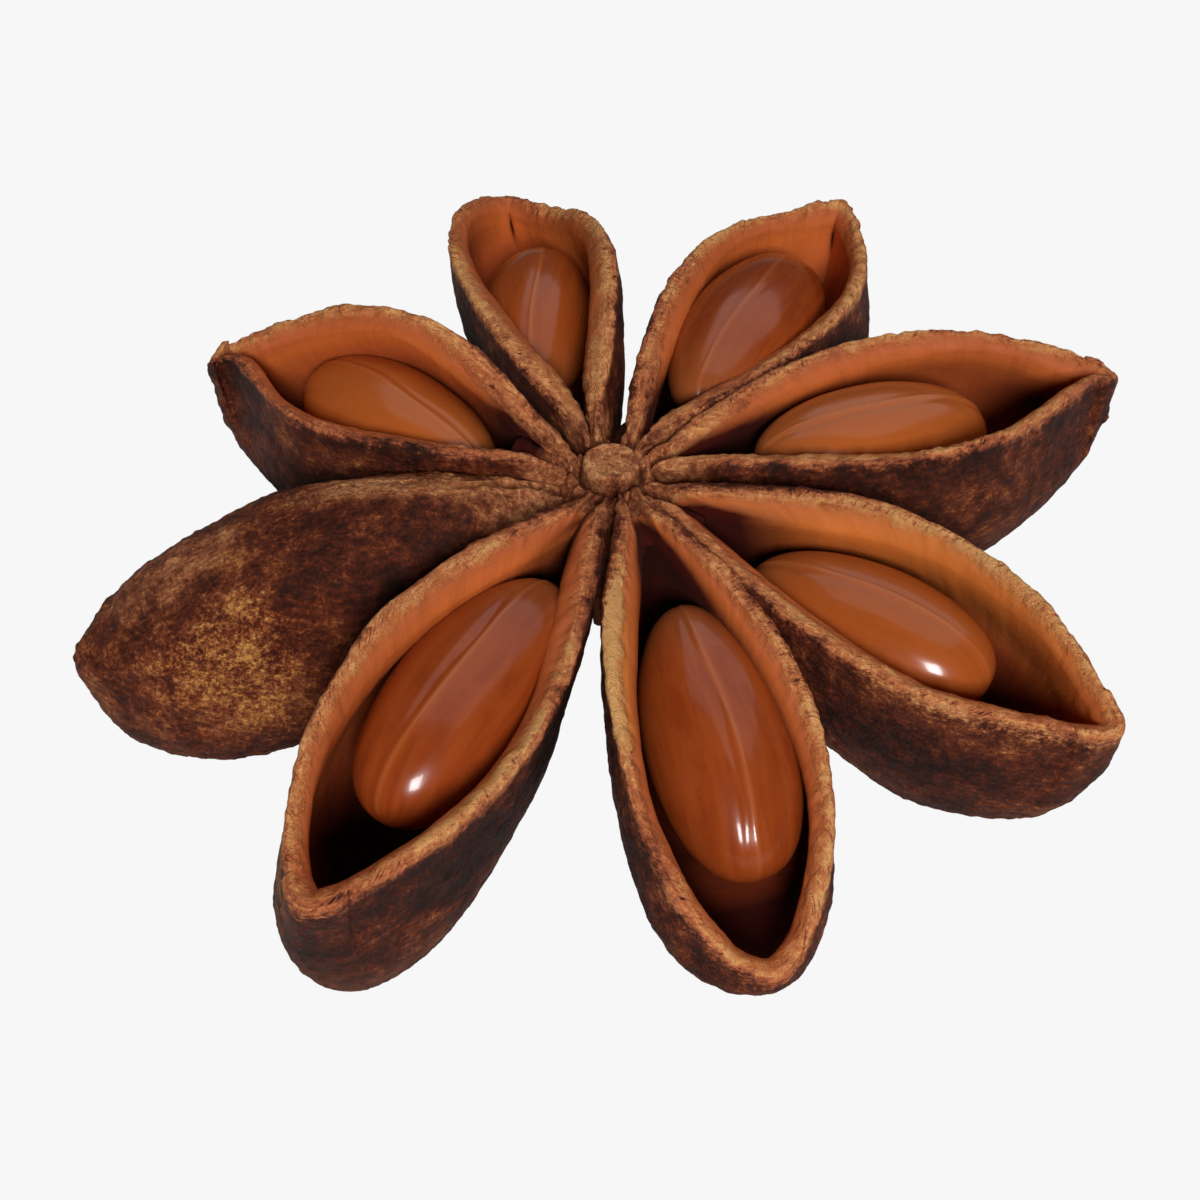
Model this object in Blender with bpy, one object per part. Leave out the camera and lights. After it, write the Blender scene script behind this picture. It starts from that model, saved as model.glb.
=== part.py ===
"""A star anise pod: eight boat-shaped follicles fused round a short central column, and the seven loose seeds.

Lengths are in millimetres up to the last step, which turns them into metres. Each follicle is worked out on its
own axes: x runs out from the hub axis along the follicle, y across it and z up from the top of the hub.
The pod lies open side up and rests on small worn flats of its keels, on the plane z = 0.
"""

import math

import bmesh
import bpy
from mathutils import Matrix, Vector

METRES = 0.001

# Where the top of the hub stands in the pod's own frame, whose origin is under the middle of the star.
HUB_TOP = 7.0
HUB_SHIFT_X = -0.4
HUB_SHIFT_Y = -0.5

# The column and the round scar on top of it, with heights measured from the top of the hub.
COLUMN_TOP_RADIUS = 2.3
COLUMN_FOOT_RADIUS = 1.5
COLUMN_TOP = -0.35
COLUMN_FOOT = -4.6
DISC_RADIUS = 1.05
DISC_HALF_HEIGHT = 0.45

# The walls of a follicle. A taper is the power that draws an almond outline to its inner or its outer point:
# under 1 the end is blunt, over 1 it is drawn out.
NECK_START = 0.6
BEAK_OVERHANG = 0.5
LIP_THICKNESS = 1.1
LIP_SHOULDER = 0.3
LIP_TAPER_IN = 1.6
OUTER_TAPER_IN = 1.15
OUTER_TAPER_OUT = 0.89
CAVITY_TAPER_IN = 1.0
CAVITY_START_SHARE = 0.15
NARROWEST_OPENING = 0.02
SIDE_WALL = 0.5
BEAK_WALL = 0.45
KEEL_WALL = 1.0
UNDERCUT_DROP = 0.2
ROLL_DEPTH = 2.0
HULL_FULLNESS = 0.75
HULL_DEPTH_FULLNESS = 0.95
HULL_BELLY = 0.10

# The shut follicle: its widest line lies this far under the lips of the others, and its top is a long dome.
CLOSED_RIM_DROP = 1.6
DOME_MIDDLE_SHARE = 0.55
DOME_FULLNESS = 0.9

# How finely the walls are divided: points round the rim, and how far down or up each ring of them lies.
AROUND = 32
OUTER_DROPS = (0.92, 0.74, 0.5, 0.25, 0.0)
CAVITY_DROPS = (0.0, 0.2, 0.45, 0.7, 0.9)
DOME_RISES = (0.3, 0.58, 0.8, 0.94)
DISC_AROUND = 18
SEED_AROUND = 14
ROUND_RINGS = 8

# A seed is flatter than it is wide, and narrower at its inner end than at its outer end.
SEED_FLATNESS = 0.9
SEED_NARROWING = 0.1


def follicle(bearing, length, half_gape, crown, droop, roll, depth, keel_share, beak_taper, seed=None):
    """The sizes of one follicle: bearing and roll in degrees, lengths in millimetres, the others are shares."""
    return {
        "bearing": bearing,
        "length": length,
        "half_gape": half_gape,
        "crown": crown,
        "droop": droop,
        "roll": roll,
        "depth": depth,
        "keel_share": keel_share,
        "beak_taper": beak_taper,
        "seed": seed,
    }


def seed(out, aside, height, half_length, half_width, turn, pitch):
    """One seed: its centre along and across its follicle and above the hub top, its sizes and how it lies."""
    return {
        "out": out,
        "aside": aside,
        "height": height,
        "half_length": half_length,
        "half_width": half_width,
        "turn": turn,
        "pitch": pitch,
    }


FOLLICLES = (
    follicle(103.5, 17.3, 2.4, 0.8, 1.6, -4.0, 7.15, 0.61, 0.82, seed(10.3, 0.0, -2.3, 4.1, 1.9, -6, -2)),
    follicle(59.5, 16.5, 2.65, 0.4, 0.2, 2.5, 7.15, 0.61, 0.83, seed(9.7, 0.1, -1.9, 4.5, 2.1, 4, -4)),
    follicle(16.5, 16.9, 2.7, 0.6, -0.2, 0.5, 6.6, 0.62, 1.10, seed(9.0, 0.2, -1.5, 4.1, 2.05, 0, -4)),
    follicle(-35.5, 16.9, 2.4, 1.0, -0.2, 7.0, 7.15, 0.75, 0.90, seed(9.4, 0.0, -1.7, 4.0, 1.95, 0, 0)),
    follicle(-75.0, 16.4, 2.45, 1.4, 3.2, -3.0, 6.2, 0.69, 0.70, seed(9.6, 0.0, -2.2, 4.3, 1.95, 0, -15)),
    follicle(-117.0, 17.5, 2.5, 1.2, -0.3, -8.0, 7.3, 0.80, 0.81, seed(9.3, 0.1, -1.7, 4.5, 1.9, 0, -2)),
    follicle(-157.0, 16.8, 2.4, 1.0, 1.2, 6.0, 6.7, 0.75, 0.90),
    follicle(154.5, 13.9, 2.35, 1.25, -0.5, -11.0, 7.15, 0.65, 1.15, seed(7.5, 0.1, -1.5, 3.8, 1.85, -4, -2)),
)

SHARP_ANGLE = math.radians(50.0)
POD_COLOUR = (0.19, 0.075, 0.03, 1.0)
SEED_COLOUR = (0.30, 0.075, 0.018, 1.0)


def clear_scene():
    for obj in list(bpy.data.objects):
        bpy.data.objects.remove(obj, do_unlink=True)


def make_material(name, colour, roughness, coat):
    material = bpy.data.materials.new(name)
    material.use_nodes = True
    shader = material.node_tree.nodes["Principled BSDF"]
    shader.inputs["Base Color"].default_value = colour
    shader.inputs["Roughness"].default_value = roughness
    shader.inputs["Metallic"].default_value = 0.0
    shader.inputs["Coat Weight"].default_value = coat
    return material


def almond(share, taper_in, taper_out):
    """Half width of an almond outline, 1 at its widest, at this share of the way to its outer point."""
    widest = taper_in / (taper_in + taper_out)
    if share <= 0.0 or share >= 1.0:
        return 0.0
    return (share / widest) ** taper_in * ((1.0 - share) / (1.0 - widest)) ** taper_out


def rim_height(part, x):
    """The lips arch up by the crown halfway along, and their outer end hangs lower by the droop."""
    share = max(x / part["length"], 0.0)
    return part["crown"] * 4.0 * share * (1.0 - share) - part["droop"] * share**2


def side_of(around):
    return 0.0 if abs(math.sin(around)) < 1e-6 else math.copysign(1.0, math.sin(around))


def rounded_hull(drop):
    """How far in and how far down a wall has gone, at a drop of 0 at the rim to 1 at the keel."""
    inward = max(math.cos(drop * math.pi / 2.0), 0.0) ** HULL_FULLNESS
    downward = math.sin(drop * math.pi / 2.0) ** HULL_DEPTH_FULLNESS
    return inward, downward


def hang_wall(part, rim, drop, keel_depth):
    """A point of a wall that curves from this point of its rim down to the keel."""
    rim_x, rim_y, rim_z = rim
    inward, downward = rounded_hull(drop)
    keel_x = part["keel_share"] * part["length"]
    x = keel_x + (rim_x - keel_x) * inward
    y = rim_y * inward * (1.0 + HULL_BELLY * math.sin(drop * math.pi))
    z = rim_z * (1.0 - downward) - keel_depth * downward
    return x, y, z


def outer_wall(part, around, drop):
    share = (1.0 + math.cos(around)) / 2.0
    reach = part["length"] + BEAK_OVERHANG
    rim_x = NECK_START + (reach - NECK_START) * share
    half_width = part["half_gape"] + LIP_THICKNESS / 2.0
    rim_y = side_of(around) * half_width * almond(share, OUTER_TAPER_IN, OUTER_TAPER_OUT * part["beak_taper"])
    rim_z = rim_height(part, rim_x) - LIP_SHOULDER
    if part["seed"] is None:
        rim_z -= CLOSED_RIM_DROP
    return hang_wall(part, (rim_x, rim_y, rim_z), drop, part["depth"])


def lip_crest(part, around):
    share = (1.0 + math.cos(around)) / 2.0
    start = NECK_START + LIP_SHOULDER
    x = start + (part["length"] - start) * share
    along = x / part["length"]
    y = side_of(around) * part["half_gape"] * almond(along, LIP_TAPER_IN, part["beak_taper"])
    return x, y, rim_height(part, x)


def cavity_wall(part, around, drop):
    """The opening between the lips, widening under them to run just inside the outer wall."""
    share = (1.0 + math.cos(around)) / 2.0
    start = CAVITY_START_SHARE * part["length"]
    rim_x = start + (part["length"] - BEAK_WALL - start) * share
    gape = part["half_gape"] * almond(rim_x / part["length"], LIP_TAPER_IN, part["beak_taper"])
    open_width = max(gape - LIP_THICKNESS / 2.0, NARROWEST_OPENING)
    full_width = part["half_gape"] + LIP_THICKNESS / 2.0 - SIDE_WALL
    full_width *= almond(share, CAVITY_TAPER_IN, OUTER_TAPER_OUT * part["beak_taper"])
    widening = min(drop / UNDERCUT_DROP, 1.0)
    rim_y = side_of(around) * (open_width + (max(full_width, open_width) - open_width) * widening)
    rim_z = rim_height(part, rim_x) - LIP_SHOULDER
    return hang_wall(part, (rim_x, rim_y, rim_z), drop, part["depth"] - KEEL_WALL)


def closed_top(part, around, rise):
    """The shut follicle's top: its sides close over in a dome that peaks at the height of the other lips."""
    x, y, z = outer_wall(part, around, 0.0)
    inward = max(math.cos(rise * math.pi / 2.0), 0.0) ** DOME_FULLNESS
    upward = math.sin(rise * math.pi / 2.0)
    middle_x = DOME_MIDDLE_SHARE * part["length"]
    x = middle_x + (x - middle_x) * inward
    peak = rim_height(part, x)
    return x, y * inward, z + (peak - z) * upward


def to_pod(part, point):
    """From a follicle's own axes to the pod's: rolled about its length, turned to its bearing and raised."""
    roll = math.radians(part["roll"])
    x, y, z = point
    lift = z + ROLL_DEPTH
    rolled_y = y * math.cos(roll) - lift * math.sin(roll)
    rolled_z = y * math.sin(roll) + lift * math.cos(roll) - ROLL_DEPTH
    bearing = math.radians(part["bearing"])
    return Vector(
        (
            HUB_SHIFT_X + x * math.cos(bearing) - rolled_y * math.sin(bearing),
            HUB_SHIFT_Y + x * math.sin(bearing) + rolled_y * math.cos(bearing),
            HUB_TOP + rolled_z,
        )
    )


def open_rings():
    """The wall that each ring of points lies on, from the keel up over the lip and down into the cavity."""
    rings = [("outer", 1.0)]
    rings += [("outer", drop) for drop in OUTER_DROPS]
    rings += [("crest", 0.0)]
    rings += [("cavity", drop) for drop in CAVITY_DROPS]
    rings += [("cavity", 1.0)]
    return rings


def closed_rings():
    """The same for the shut follicle, from the keel up over the dome."""
    rings = [("outer", 1.0)]
    rings += [("outer", drop) for drop in OUTER_DROPS]
    rings += [("top", rise) for rise in DOME_RISES]
    rings += [("top", 1.0)]
    return rings


def wall_point(part, wall, around, amount):
    if wall == "outer":
        return outer_wall(part, around, amount)
    if wall == "crest":
        return lip_crest(part, around)
    if wall == "cavity":
        return cavity_wall(part, around, amount)
    return closed_top(part, around, amount)


def make_object(name, shell, collection):
    mesh = bpy.data.meshes.new(name)
    shell.to_mesh(mesh)
    shell.free()
    obj = bpy.data.objects.new(name, mesh)
    collection.objects.link(obj)
    return obj


def make_follicle(name, part, collection):
    """A sphere with its rings moved onto the walls: an open follicle is like a soft ball pushed in."""
    rings = closed_rings() if part["seed"] is None else open_rings()
    steps = len(rings) - 1
    shell = bmesh.new()
    bmesh.ops.create_uvsphere(shell, u_segments=AROUND, v_segments=steps, radius=1.0)
    for vert in shell.verts:
        height = max(-1.0, min(1.0, vert.co.z))
        ring = round(math.acos(-height) / math.pi * steps)
        around = math.atan2(vert.co.y, vert.co.x)
        wall, amount = rings[ring]
        point = to_pod(part, wall_point(part, wall, around, amount))
        point.z = max(point.z, 0.0)
        vert.co = point * METRES
    return make_object(name, shell, collection)


def make_column(collection):
    """The short column that carries the follicles, a blunt cone, narrower at its foot."""
    shell = bmesh.new()
    middle = (COLUMN_TOP + COLUMN_FOOT) / 2.0
    place = Matrix.Translation(Vector((HUB_SHIFT_X, HUB_SHIFT_Y, HUB_TOP + middle)) * METRES)
    bmesh.ops.create_cone(
        shell,
        cap_ends=True,
        segments=AROUND,
        radius1=COLUMN_FOOT_RADIUS * METRES,
        radius2=COLUMN_TOP_RADIUS * METRES,
        depth=(COLUMN_TOP - COLUMN_FOOT) * METRES,
        matrix=place,
    )
    return make_object("pod", shell, collection)


def make_disc(collection):
    """The low round scar in the middle of the star."""
    shell = bmesh.new()
    place = Matrix.Translation(Vector((HUB_SHIFT_X, HUB_SHIFT_Y, HUB_TOP - DISC_HALF_HEIGHT)) * METRES)
    flatten = Matrix.Diagonal((1.0, 1.0, DISC_HALF_HEIGHT / DISC_RADIUS, 1.0))
    bmesh.ops.create_uvsphere(
        shell,
        u_segments=DISC_AROUND,
        v_segments=ROUND_RINGS,
        radius=DISC_RADIUS * METRES,
        matrix=place @ flatten,
    )
    return make_object("disc", shell, collection)


def make_seed(name, part, collection, material):
    """A smooth egg, a little narrower towards the hub, lying along its follicle."""
    sizes = part["seed"]
    shell = bmesh.new()
    bmesh.ops.create_uvsphere(shell, u_segments=SEED_AROUND, v_segments=ROUND_RINGS, radius=1.0)
    lie = Matrix.Rotation(math.radians(part["bearing"] + sizes["turn"]), 3, "Z")
    lie = lie @ Matrix.Rotation(math.radians(-sizes["pitch"]), 3, "Y")
    middle = to_pod({**part, "roll": 0.0}, (sizes["out"], sizes["aside"], sizes["height"]))
    for vert in shell.verts:
        across, upward, along = vert.co
        narrow = 1.0 + SEED_NARROWING * along
        half_width = sizes["half_width"] * narrow
        own = Vector((along * sizes["half_length"], across * half_width, upward * half_width * SEED_FLATNESS))
        vert.co = (middle + lie @ own) * METRES
    obj = make_object(name, shell, collection)
    obj.data.materials.append(material)
    obj.data.shade_smooth()
    return obj


def join_pod(column, joined):
    """One union of the column with everything in the joined collection, applied."""
    union = column.modifiers.new("join", "BOOLEAN")
    union.operation = "UNION"
    union.operand_type = "COLLECTION"
    union.collection = joined
    union.solver = "EXACT"
    graph = bpy.context.evaluated_depsgraph_get()
    mesh = bpy.data.meshes.new_from_object(column.evaluated_get(graph))
    column.modifiers.clear()
    column.data = mesh
    for obj in list(joined.objects):
        bpy.data.objects.remove(obj, do_unlink=True)
    bpy.data.collections.remove(joined)


def main():
    clear_scene()
    pod_skin = make_material("pod_skin", POD_COLOUR, 0.75, 0.0)
    seed_coat = make_material("seed_coat", SEED_COLOUR, 0.15, 0.5)
    star = bpy.data.collections.new("star_anise_pod")
    joined = bpy.data.collections.new("joined_to_column")
    bpy.context.scene.collection.children.link(star)
    bpy.context.scene.collection.children.link(joined)
    column = make_column(star)
    make_disc(joined)
    seed_number = 0
    for number, part in enumerate(FOLLICLES, start=1):
        make_follicle(f"follicle_{number}", part, joined)
        if part["seed"] is not None:
            seed_number += 1
            make_seed(f"seed_{seed_number}", part, star, seed_coat)
    join_pod(column, joined)
    column.data.materials.clear()
    column.data.materials.append(pod_skin)
    column.data.shade_smooth()
    column.data.set_sharp_from_angle(angle=SHARP_ANGLE)


main()
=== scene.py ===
import math

import bpy
import numpy as np
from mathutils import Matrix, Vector


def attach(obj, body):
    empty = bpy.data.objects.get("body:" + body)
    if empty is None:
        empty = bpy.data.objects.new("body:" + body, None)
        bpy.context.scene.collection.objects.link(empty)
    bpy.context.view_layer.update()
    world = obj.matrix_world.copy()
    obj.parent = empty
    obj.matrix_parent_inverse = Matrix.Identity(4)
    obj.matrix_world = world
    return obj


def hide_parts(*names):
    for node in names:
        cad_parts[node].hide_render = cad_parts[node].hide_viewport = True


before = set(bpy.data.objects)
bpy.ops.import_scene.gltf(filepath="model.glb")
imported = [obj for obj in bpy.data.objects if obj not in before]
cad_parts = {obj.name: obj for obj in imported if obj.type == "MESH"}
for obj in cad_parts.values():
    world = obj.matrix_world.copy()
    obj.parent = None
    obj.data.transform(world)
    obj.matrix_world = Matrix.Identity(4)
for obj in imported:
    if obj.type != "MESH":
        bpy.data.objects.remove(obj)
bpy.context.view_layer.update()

# The follicles: eight dried, woody, boat-shaped fruits round one column. Seven have split along their upper edge
# and gape; each lip is a rounded, wrinkled rim between a dark, weathered outer wall and a smooth orange lining.
# Each is worked out in millimetres on its own axes: x out from the hub, y across, z up from the top of the hub.
METRES = 0.001
HUB = np.array([-0.4, -0.5, 7.0])
ROLL_DEPTH = 2.0
AROUND = 480
OUTER_ROWS = 62
LIP_ROWS = 21
LINING_ROWS = 46

NECK_START = 0.6
BEAK_OVERHANG = 0.45
LIP_OUTWARD = 0.38
LIP_INWARD = 0.42
LIP_HEIGHT = 0.40
LIP_INNER_FALL = 0.5
LIP_TAPER_IN = 1.9
OUTER_TAPER_IN = 1.15
OUTER_TAPER_OUT = 0.85
CAVITY_TAPER_IN = 1.0
NARROWEST_OPENING = 0.03
SIDE_WALL = 0.25
BEAK_WALL = 0.42
BEAK_CAP = 0.4
KEEL_WALL = 0.8
UNDERCUT_DROP = 0.25
HUB_UNDERCUT = 1.1
HULL_FULLNESS = 0.75
HULL_DEPTH_FULLNESS = 0.95
NECK_DIP = 0.9
NECK_DIP_REACH = 0.5
KNUCKLE_AT = 1.35
KNUCKLE_REACH = 0.25
KNUCKLE_HEIGHT = 0.16
SOFT_FLOOR = 0.6
SWELL_FREE_WIDTH = 0.8
BEAK_RADIUS = 0.75
BEAK_ROUNDING = 0.3
BEAK_ROUNDING_DROP = 0.35
CHIN_REACH = 40.0
HUB_UNDERCUT_REACH = 50.0
HUB_END_REACH = 40.0
OUTER_END = 0.985
LINING_END = 0.97


def follicle(name, bearing, length, half_gape, crown, droop, roll, depth, keel_share, beak_taper, opens_at, belly,
             swells=(), crags=(), gilt_and_painted_light=(), shade=(), chin=0.0, skin_in=0.0):
    """Sizes of one follicle. Swells push the rim: (degrees round from the beak, reach, out, up) in mm.
    Crags, gilt and shade are spots on the walls: (degrees round, reach in degrees, mm from the lip's crest, reach in
    mm, strength), with the mm counted outwards for gilt, inwards for shade and both ways for crags. Gilt rubs the
    skin towards gold, or towards black where the strength is below zero; some of its spots are painted light on
    lining walls that face the light, and painted shade on outer walls between two follicles. Shade is painted shade,
    near-black red in the cavity, which on the first two follicles also draws the dark suture below the beak; a
    strength below zero takes painted shade away. The chin pushes the wall out under the beak, and skin_in draws the
    dark skin in over the neck, both in mm."""
    return {
        "name": name, "bearing": bearing, "length": length, "half_gape": half_gape, "crown": crown,
        "droop": droop, "roll": roll, "depth": depth, "keel_share": keel_share, "beak_taper": beak_taper,
        "opens_at": opens_at, "belly": belly, "swells": swells, "crags": crags, "gilt_and_painted_light": gilt_and_painted_light, "shade": shade,
        "chin": chin, "skin_in": skin_in,
    }


FOLLICLES = (
    follicle("follicle_1", 103.27, 17.61, 2.45, 1.16, 1.49, -7.05, 7.66, 0.52, 0.90, 2.4, 0.12,
             swells=((0, 22, -0.11, -0.06), (40, 26, 0.30, 0.43), (-40, 26, -0.19, -0.48), (95, 32, -0.12, -0.02),
                     (-95, 32, 0.04, 0.39)),
             crags=((-25, 35, 0.3, 0.8, 0.5),),
             gilt_and_painted_light=((90, 50, 0.2, 0.5, 0.6), (-90, 60, 0.2, 0.5, 0.5), (-80, 50, -1.5, 1.2, 0.5)),
             shade=((0, 6, 1.0, 0.8, 1.4), (90, 60, 1.6, 1.2, 0.8)), skin_in=0.9),
    follicle("follicle_2", 59.58, 16.80, 2.94, 0.59, 0.37, -1.14, 7.15, 0.61, 0.93, 3.0, 0.14,
             swells=((0, 22, 0.46, 0.10), (40, 26, 0.0, -0.04), (-40, 26, -0.05, -0.08), (95, 32, -0.32, 0.04),
                     (-95, 32, -0.20, -0.18)),
             crags=((60, 60, 0.2, 0.8, 0.7), (0, 30, 0.5, 1.2, 0.8)),
             gilt_and_painted_light=((60, 60, 0.2, 0.5, 0.6), (-80, 50, 0.2, 0.5, 0.4), (-70, 50, -1.5, 1.5, 0.6)),
             shade=((0, 5, 1.2, 0.7, 1.3),), skin_in=0.9),
    follicle("follicle_3", 16.24, 17.43, 2.93, 0.82, -0.28, -1.01, 6.75, 0.61, 1.18, 2.7, 0.11,
             swells=((0, 22, -0.11, -0.43), (40, 26, -0.10, -0.06), (-40, 26, -0.25, 0.12), (95, 32, -0.13, -0.15),
                     (-95, 32, 0.03, 0.12)),
             crags=((0, 40, 2.0, 2.5, 1.0), (-70, 50, 0.2, 0.5, 0.5)),
             gilt_and_painted_light=((60, 60, 0.3, 0.5, 0.5), (-80, 60, -0.1, 0.4, 0.9), (-80, 50, 1.0, 0.8, -0.4)),
             shade=((25, 30, 2.4, 1.1, 0.9), (80, 70, 1.2, 1.4, 0.45)), skin_in=0.5),
    follicle("follicle_4", -35.60, 16.84, 2.40, 1.02, -0.09, 6.29, 7.10, 0.70, 0.90, 3.6, 0.16,
             swells=((0, 22, 0.22, 0.08), (40, 26, -0.04, -0.03), (-40, 26, -0.23, -0.03), (95, 32, 0.27, 0.09),
                     (-95, 32, 0.04, 0.21)),
             gilt_and_painted_light=((-40, 30, 0.9, 0.7, 0.6), (-90, 40, 0.1, 0.4, 0.4), (60, 50, 0.1, 0.5, 0.7),
                   (-70, 50, 3.0, 1.6, -0.5), (80, 60, -1.6, 1.6, 0.9)),
             shade=((25, 30, 2.6, 1.2, 0.2),)),
    follicle("follicle_5", -74.21, 16.03, 2.57, 1.48, 3.04, -3.09, 6.05, 0.69, 0.73, 3.6, 0.08,
             swells=((0, 22, 0.15, -0.17), (40, 26, -0.08, 0.05), (-40, 26, 0.14, -0.08), (95, 32, -0.09, 0.01),
                     (-95, 32, 0.11, 0.14)),
             gilt_and_painted_light=((-96, 20, 0.2, 0.5, 3.2), (-62, 24, 0.1, 0.4, -0.4), (-25, 22, 0.1, 0.4, 0.4),
                   (70, 50, 0.2, 0.45, 0.6), (-60, 60, 2.2, 1.0, -0.3)),
             shade=((0, 45, 2.0, 1.7, 2.0), (-75, 45, 1.4, 1.2, 1.1), (85, 60, 1.2, 1.4, 1.2))),
    follicle("follicle_6", -116.64, 17.59, 2.46, 1.32, -0.46, -8.10, 7.73, 0.81, 0.90, 3.0, 0.10,
             swells=((0, 22, 0.04, 0.20), (40, 26, -0.03, 0.23), (-40, 26, 0.11, -0.41), (95, 32, 0.08, -0.17),
                     (-95, 32, 0.18, -0.01)),
             gilt_and_painted_light=((62, 30, 0.0, 0.4, 0.8), (100, 30, 0.2, 0.4, 0.4), (-70, 60, 0.0, 0.4, 0.4),
                   (-60, 40, 1.8, 1.2, 0.9), (45, 40, 3.0, 1.4, 0.2), (80, 45, 2.4, 1.4, -1.2)),
             shade=((-110, 60, 1.2, 1.6, -0.9),)),
    follicle("follicle_7", 155.77, 14.76, 2.28, 1.51, -0.35, -11.57, 7.98, 0.80, 1.30, 3.2, 0.24,
             swells=((0, 22, -0.33, -0.41), (40, 26, -0.57, 0.15), (-40, 26, -0.13, -0.18), (95, 32, -0.18, -0.01),
                     (-95, 32, -0.07, 0.66)),
             crags=((0, 50, 3.8, 2.0, 0.6), (-70, 50, 0.2, 0.5, 0.5)),
             gilt_and_painted_light=((-70, 50, 0.2, 0.5, 0.6), (90, 50, 0.3, 0.9, -0.5)),
             shade=((-5, 12, 2.4, 0.8, 0.5),), chin=0.35, skin_in=0.9),
)


def almond(share, taper_in, taper_out):
    """Half width of an almond outline at a share of its length: share^in (1 - share)^out, and 1 at its widest."""
    widest = taper_in / (taper_in + taper_out)
    share = np.clip(share, 0.0, 1.0)
    return (share / widest) ** taper_in * ((1.0 - share) / (1.0 - widest)) ** taper_out


def eased(way):
    """From 0 to 1 with a level start and end: 3t^2 - 2t^3."""
    return way * way * (3.0 - 2.0 * way)


def lattice(points, cell, draw):
    """Smooth noise from -1 to 1: hashed values at the corners of a cubic lattice, eased between them."""
    spot = points / cell + 17.31 * (draw % 97)
    base = np.floor(spot).astype(np.int64)
    part = spot - base
    fade = eased(part)
    total = np.zeros(points.shape[:-1])
    for corner in range(8):
        step = np.array([corner & 1, corner >> 1 & 1, corner >> 2 & 1])
        at = base + step
        key = (at[..., 0] * 73856093 ^ at[..., 1] * 19349663 ^ at[..., 2] * 83492791 ^ draw * 265443) & 0xFFFFFFFF
        key = (key ^ key >> 15) * 2246822519 & 0xFFFFFFFF
        key = (key ^ key >> 13) * 3266489917 & 0xFFFFFFFF
        value = (key ^ key >> 16) / 2.0**31 - 1.0
        total += value * np.prod(np.where(step, fade, 1.0 - fade), axis=-1)
    return total


def rough(points, cell, octaves, draw):
    """Layers of lattice noise, each half the size and half the height of the one before."""
    return sum(lattice(points, cell / 2.0**k, draw + 7 * k) / 2.0**k for k in range(octaves))


def rim_height(part, x):
    """The lips arch up by the crown halfway along, and their outer end hangs lower by the droop."""
    share = np.maximum(x / part["length"], 0.0)
    dip = NECK_DIP * np.exp(-(((x - NECK_START) / NECK_DIP_REACH) ** 2))
    dip = dip - KNUCKLE_HEIGHT * np.exp(-(((x - KNUCKLE_AT) / KNUCKLE_REACH) ** 2))
    return part["crown"] * 4.0 * share * (1.0 - share) - part["droop"] * share**2 - dip


def hang(part, rim, drop, keel_depth):
    """A wall below its rim: x and y close in on the keel by cos^fullness while z falls by sin^fullness."""
    inward = np.maximum(np.cos(drop * math.pi / 2.0), 0.0) ** HULL_FULLNESS
    downward = np.sin(drop * math.pi / 2.0) ** HULL_DEPTH_FULLNESS
    keel_x = part["keel_share"] * part["length"]
    x = keel_x + (rim[0] - keel_x) * inward
    y = rim[1] * inward * (1.0 + part["belly"] * np.sin(drop * math.pi))
    return np.stack(np.broadcast_arrays(x, y, rim[2] * (1.0 - downward) - keel_depth * downward), axis=-1)


def bell(turn, middle, reach):
    """1 at the middle and fading to both sides of it, round the rim, in degrees."""
    away = (np.degrees(turn) - middle + 180.0) % 360.0 - 180.0
    return np.exp(-((away / reach) ** 2))


def swell_shift(part, turn, y):
    """How far the swells move each column of the wall: away from the middle, and up. Close to the beak, where the
    two lips meet, they don't move it sideways."""
    out = sum((out * bell(turn, middle, reach) for middle, reach, out, _ in part["swells"]), np.zeros_like(y))
    up = sum((up * bell(turn, middle, reach) for middle, reach, _, up in part["swells"]), np.zeros_like(y))
    return out * np.cos(turn), out * np.sin(turn) * np.clip(np.abs(y) / SWELL_FREE_WIDTH, 0.0, 1.0), up


def normals(grid):
    """Unit normals of a grid that closes round its columns: the run round the ring crossed with the run up."""
    across = np.cross(np.roll(grid, -1, axis=1) - np.roll(grid, 1, axis=1), np.gradient(grid, axis=0))
    return across / np.maximum(np.linalg.norm(across, axis=-1, keepdims=True), 1e-12)


def travelled(own):
    """How far each point lies up its column from the first ring, in mm."""
    steps = np.linalg.norm(np.diff(own, axis=0), axis=-1)
    return np.concatenate([np.zeros((1, AROUND)), np.cumsum(steps, axis=0)])


def into_pod(part, own):
    """Rolls a follicle about its own length, turns it to its bearing and sets it at the hub. A keel that would go
    below z = 0 is rounded off: under the soft depth its height falls off as a square, to 0."""
    roll, bearing = math.radians(part["roll"]), math.radians(part["bearing"])
    y, z = own[..., 1], own[..., 2] + ROLL_DEPTH
    y, z = y * math.cos(roll) - z * math.sin(roll), y * math.sin(roll) + z * math.cos(roll) - ROLL_DEPTH
    x = own[..., 0] * math.cos(bearing) - y * math.sin(bearing)
    y = own[..., 0] * math.sin(bearing) + y * math.cos(bearing)
    placed = np.stack([x, y, z], axis=-1) + HUB
    low = np.clip((SOFT_FLOOR - placed[..., 2]) / (2.0 * SOFT_FLOOR), 0.0, 1.0)
    placed[..., 2] = np.where(low > 0.0, SOFT_FLOOR * (1.0 - low) ** 2, placed[..., 2])
    return placed


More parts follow.
